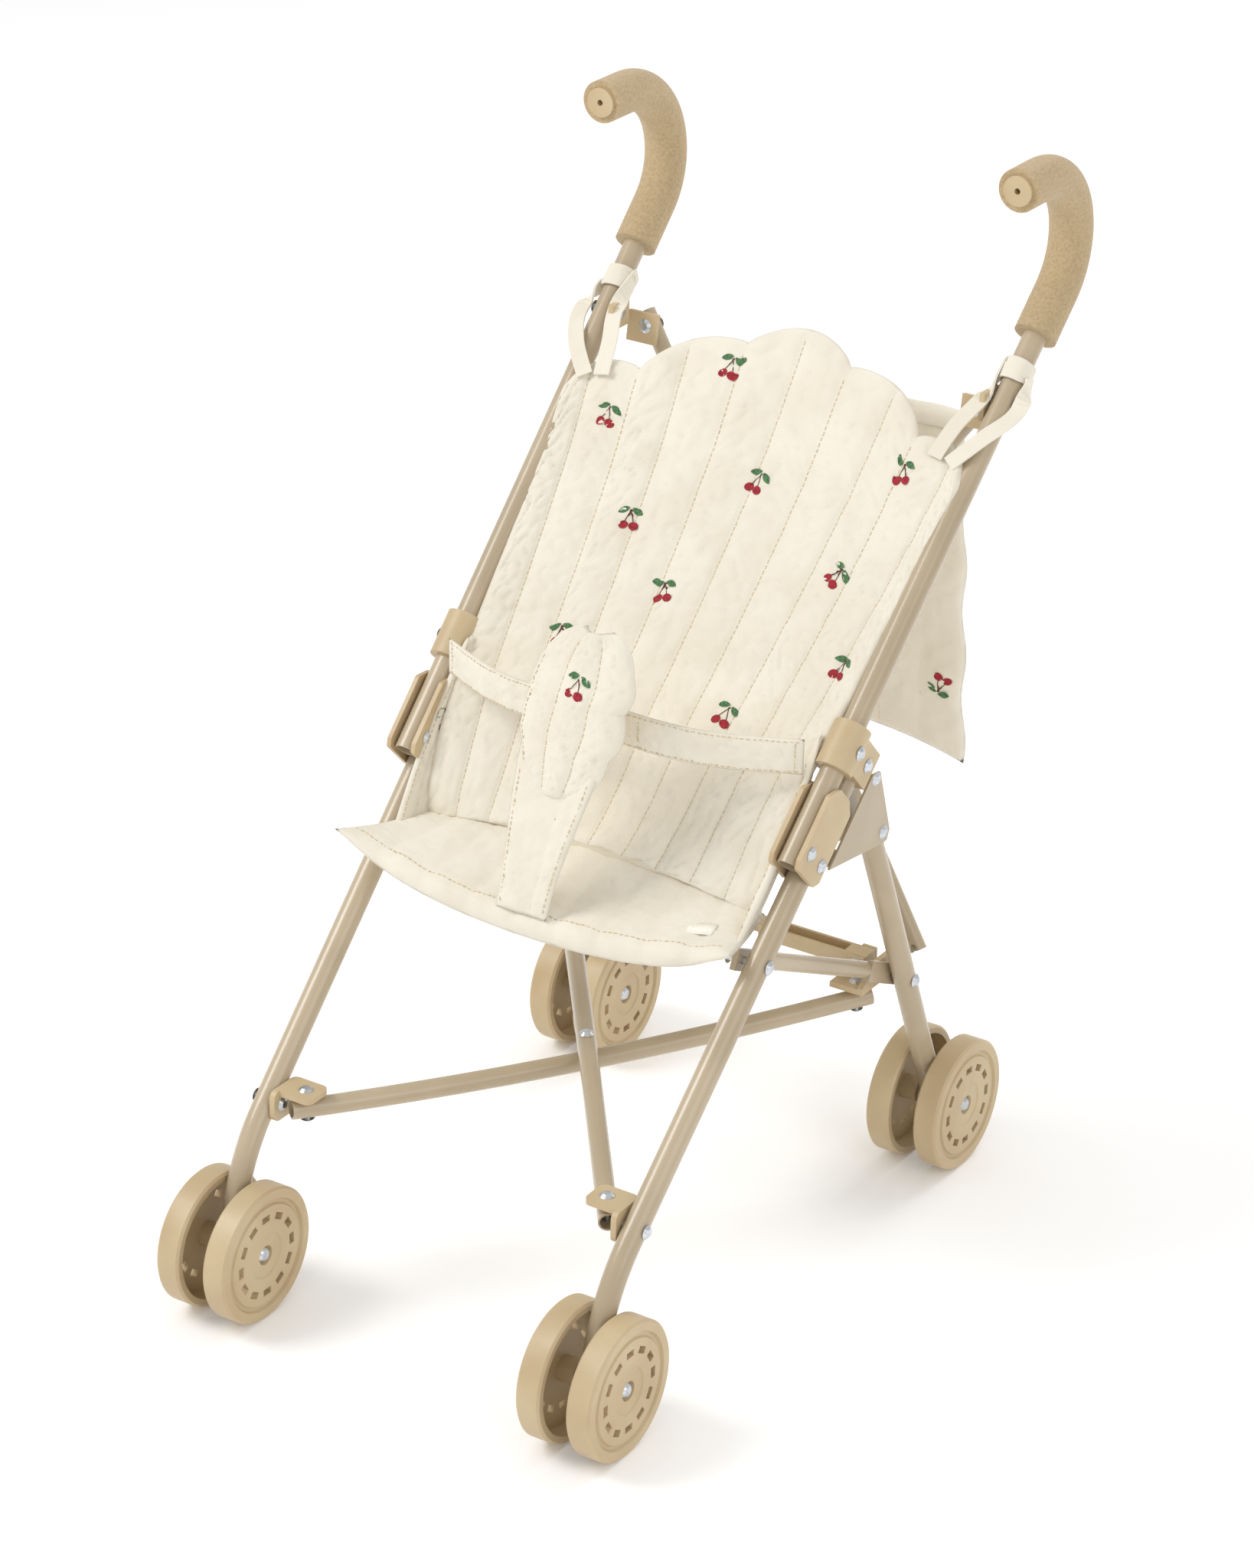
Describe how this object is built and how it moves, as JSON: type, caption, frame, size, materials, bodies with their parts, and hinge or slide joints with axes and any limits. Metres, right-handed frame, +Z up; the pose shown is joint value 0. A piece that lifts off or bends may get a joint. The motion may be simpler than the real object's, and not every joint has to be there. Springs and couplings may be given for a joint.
{
  "type": "doll stroller",
  "caption": "Folding umbrella doll stroller: beige tube frame on pairs of wheels, hooked foam handles, quilted cotton sling seat with belt, and a rear bag.",
  "frame": {"origin": "on the floor, under the middle of the bounding box", "axes": "+Z up, the front faces -Y, +X is on the right when it is seen from the front"},
  "size_m": [0.2602, 0.4442, 0.5428],
  "materials": {
    "painted_tube": "gloss beige powder coat",
    "plastic": "satin moulded beige plastic",
    "steel": "zinc plated",
    "foam": "matt fine-celled foam",
    "cotton": "quilted cotton with a small cherry print"
  },
  "bodies": {
    "left_frame": {"front_leg_left": "painted_tube", "handle_tube_left": "painted_tube", "handle_grip_left": "foam", "handle_cap_left": "plastic", "collar_left": "plastic", "side_clamp_left": "plastic", "frame_rivets_left": "steel", "brace_bracket_left": "plastic", "front_axle_left": "steel", "seat_back": "cotton", "seat_base": "cotton", "seat_sides": "cotton", "crotch_strap": "cotton", "lap_belt_left": "cotton", "lap_belt_right": "cotton", "top_ties": "cotton", "storage_bag": "cotton"},
    "right_frame": {"front_leg_right": "painted_tube", "handle_tube_right": "painted_tube", "handle_grip_right": "foam", "handle_cap_right": "plastic", "collar_right": "plastic", "side_clamp_right": "plastic", "frame_rivets_right": "steel", "brace_bracket_right": "plastic", "front_axle_right": "steel"},
    "front_bracket_left": {"front_bracket_left": "plastic", "front_bracket_pins_left": "steel"},
    "rear_bracket_left": {"rear_bracket_left": "plastic", "rear_bracket_pins_left": "steel"},
    "rear_leg_left": {"rear_leg_left": "painted_tube", "rear_axle_left": "steel"},
    "side_plate_left": {"side_plate_left": "painted_tube", "side_plate_pins_left": "steel"},
    "side_link_left": {"side_link_left": "painted_tube"},
    "lock_arm_left": {"lock_arm_left": "plastic"},
    "front_bracket_right": {"front_bracket_right": "plastic", "front_bracket_pins_right": "steel"},
    "rear_bracket_right": {"rear_bracket_right": "plastic", "rear_bracket_pins_right": "steel"},
    "rear_leg_right": {"rear_leg_right": "painted_tube", "rear_axle_right": "steel"},
    "side_plate_right": {"side_plate_right": "painted_tube", "side_plate_pins_right": "steel"},
    "side_link_right": {"side_link_right": "painted_tube"},
    "lock_arm_right": {"lock_arm_right": "plastic"},
    "cross_bar_lower": {"cross_bar_lower": "painted_tube", "cross_rivet": "steel"},
    "cross_bar_upper": {"cross_bar_upper": "painted_tube"},
    "rear_brace_outer": {"rear_brace_outer": "painted_tube"},
    "rear_brace_inner": {"rear_brace_inner": "painted_tube"},
    "front_wheel_left_outer": {"front_wheel_left_outer": "plastic"},
    "front_wheel_left_inner": {"front_wheel_left_inner": "plastic"},
    "front_wheel_right_outer": {"front_wheel_right_outer": "plastic"},
    "front_wheel_right_inner": {"front_wheel_right_inner": "plastic"},
    "rear_wheel_left_outer": {"rear_wheel_left_outer": "plastic"},
    "rear_wheel_left_inner": {"rear_wheel_left_inner": "plastic"},
    "rear_wheel_right_outer": {"rear_wheel_right_outer": "plastic"},
    "rear_wheel_right_inner": {"rear_wheel_right_inner": "plastic"}
  },
  "joints": [
    {"name": "front_bracket_left_tip", "type": "hinge", "parent": "left_frame", "child": "front_bracket_left", "pos_m": [-0.10767, -0.1549, 0.1022], "axis": [1, 0, 0], "range_deg": [0, 24.01]},
    {"name": "floor_cross_fold", "type": "hinge", "parent": "front_bracket_left", "child": "cross_bar_lower", "pos_m": [-0.088, -0.1489, 0.101], "axis": [0, -0.0514, 0.9987], "range_deg": [0, 20], "deforming": ["seat_back", "seat_base", "seat_sides", "crotch_strap", "lap_belt_left", "lap_belt_right", "top_ties", "storage_bag"]},
    {"name": "cross_pivot", "type": "hinge", "parent": "cross_bar_lower", "child": "cross_bar_upper", "pos_m": [0, -0.0324, 0.107], "axis": [0, -0.0514, 0.9987], "range_deg": [-40.01, 0]},
    {"name": "front_bracket_right_turn", "type": "hinge", "parent": "cross_bar_upper", "child": "front_bracket_right", "pos_m": [0.088, -0.1489, 0.101], "axis": [0, -0.0514, 0.9987], "range_deg": [0, 20.01]},
    {"name": "right_frame_tip", "type": "hinge", "parent": "front_bracket_right", "child": "right_frame", "pos_m": [0.10767, -0.1549, 0.1022], "axis": [1, 0, 0], "range_deg": [-24.01, 0]},
    {"name": "rear_bracket_right_turn", "type": "hinge", "parent": "cross_bar_lower", "child": "rear_bracket_right", "pos_m": [0.088, 0.0841, 0.113], "axis": [0, -0.0514, 0.9987], "range_deg": [-20.01, 0]},
    {"name": "rear_bracket_left_turn", "type": "hinge", "parent": "cross_bar_upper", "child": "rear_bracket_left", "pos_m": [-0.088, 0.0841, 0.113], "axis": [0, -0.0514, 0.9987], "range_deg": [0, 20.01]},
    {"name": "rear_leg_left_swing", "type": "hinge", "parent": "rear_bracket_left", "child": "rear_leg_left", "pos_m": [-0.10827, 0.0976, 0.125], "axis": [1, 0, 0], "range_deg": [-80.01, 0]},
    {"name": "side_plate_left_turn", "type": "hinge", "parent": "rear_leg_left", "child": "side_plate_left", "pos_m": [-0.11113, 0.0456, 0.23243], "axis": [0.9996, 0, 0.0265], "range_deg": [0, 56.01]},
    {"name": "side_link_left_swing", "type": "hinge", "parent": "left_frame", "child": "side_link_left", "pos_m": [-0.0974, -0.0544, 0.19924], "axis": [1, 0, 0], "range_deg": [0, 42.41]},
    {"name": "lock_arm_left_swing", "type": "hinge", "parent": "rear_bracket_left", "child": "lock_arm_left", "pos_m": [-0.084, 0.09729, 0.12878], "axis": [0, 0.9987, 0.0514], "range_deg": [-60.01, 0]},
    {"name": "rear_leg_right_swing", "type": "hinge", "parent": "rear_bracket_right", "child": "rear_leg_right", "pos_m": [0.10827, 0.0976, 0.125], "axis": [1, 0, 0], "range_deg": [-80.01, 0]},
    {"name": "side_plate_right_turn", "type": "hinge", "parent": "rear_leg_right", "child": "side_plate_right", "pos_m": [0.11113, 0.0456, 0.23243], "axis": [0.9996, 0, -0.0265], "range_deg": [0, 56.01]},
    {"name": "side_link_right_swing", "type": "hinge", "parent": "right_frame", "child": "side_link_right", "pos_m": [0.0974, -0.0544, 0.19924], "axis": [1, 0, 0], "range_deg": [0, 42.41]},
    {"name": "lock_arm_right_swing", "type": "hinge", "parent": "rear_bracket_right", "child": "lock_arm_right", "pos_m": [0.084, 0.09729, 0.12878], "axis": [0, 0.9987, 0.0514], "range_deg": [0, 60.01]},
    {"name": "rear_brace_outer_swing", "type": "hinge", "parent": "left_frame", "child": "rear_brace_outer", "pos_m": [-0.099, 0.1671, 0.412], "axis": [0, 0.9877, -0.1565], "range_deg": [0, 26.01]},
    {"name": "rear_brace_inner_swing", "type": "hinge", "parent": "right_frame", "child": "rear_brace_inner", "pos_m": [0.099, 0.1671, 0.412], "axis": [0, 0.9877, -0.1565], "range_deg": [-26.01, 0]},
    {"name": "front_wheel_left_outer_spin", "type": "hinge", "parent": "left_frame", "child": "front_wheel_left_outer", "pos_m": [-0.1059, -0.1866, 0.0355], "axis": [1, 0, 0], "continuous": true},
    {"name": "front_wheel_left_inner_spin", "type": "hinge", "parent": "left_frame", "child": "front_wheel_left_inner", "pos_m": [-0.1059, -0.1866, 0.0355], "axis": [1, 0, 0], "continuous": true},
    {"name": "front_wheel_right_outer_spin", "type": "hinge", "parent": "right_frame", "child": "front_wheel_right_outer", "pos_m": [0.1059, -0.1866, 0.0355], "axis": [1, 0, 0], "continuous": true},
    {"name": "front_wheel_right_inner_spin", "type": "hinge", "parent": "right_frame", "child": "front_wheel_right_inner", "pos_m": [0.1059, -0.1866, 0.0355], "axis": [1, 0, 0], "continuous": true},
    {"name": "rear_wheel_left_outer_spin", "type": "hinge", "parent": "rear_leg_left", "child": "rear_wheel_left_outer", "pos_m": [-0.1059, 0.1408, 0.0355], "axis": [1, 0, 0], "continuous": true},
    {"name": "rear_wheel_left_inner_spin", "type": "hinge", "parent": "rear_leg_left", "child": "rear_wheel_left_inner", "pos_m": [-0.1059, 0.1408, 0.0355], "axis": [1, 0, 0], "continuous": true},
    {"name": "rear_wheel_right_outer_spin", "type": "hinge", "parent": "rear_leg_right", "child": "rear_wheel_right_outer", "pos_m": [0.1059, 0.1408, 0.0355], "axis": [1, 0, 0], "continuous": true},
    {"name": "rear_wheel_right_inner_spin", "type": "hinge", "parent": "rear_leg_right", "child": "rear_wheel_right_inner", "pos_m": [0.1059, 0.1408, 0.0355], "axis": [1, 0, 0], "continuous": true}
  ],
  "couplings": [
    {"joint": "front_bracket_left_tip", "follows": "floor_cross_fold", "ratio": 1.2},
    {"joint": "cross_pivot", "follows": "floor_cross_fold", "ratio": -2},
    {"joint": "front_bracket_right_turn", "follows": "floor_cross_fold", "ratio": 1},
    {"joint": "right_frame_tip", "follows": "floor_cross_fold", "ratio": -1.2},
    {"joint": "rear_bracket_right_turn", "follows": "floor_cross_fold", "ratio": -1},
    {"joint": "rear_bracket_left_turn", "follows": "floor_cross_fold", "ratio": 1},
    {"joint": "rear_leg_left_swing", "follows": "floor_cross_fold", "ratio": -4},
    {"joint": "side_plate_left_turn", "follows": "floor_cross_fold", "ratio": 2.8},
    {"joint": "side_link_left_swing", "follows": "floor_cross_fold", "ratio": 2.12},
    {"joint": "lock_arm_left_swing", "follows": "floor_cross_fold", "ratio": -3},
    {"joint": "rear_leg_right_swing", "follows": "floor_cross_fold", "ratio": -4},
    {"joint": "side_plate_right_turn", "follows": "floor_cross_fold", "ratio": 2.8},
    {"joint": "side_link_right_swing", "follows": "floor_cross_fold", "ratio": 2.12},
    {"joint": "lock_arm_right_swing", "follows": "floor_cross_fold", "ratio": 3},
    {"joint": "rear_brace_outer_swing", "follows": "floor_cross_fold", "ratio": 1.3},
    {"joint": "rear_brace_inner_swing", "follows": "floor_cross_fold", "ratio": -1.3}
  ]
}
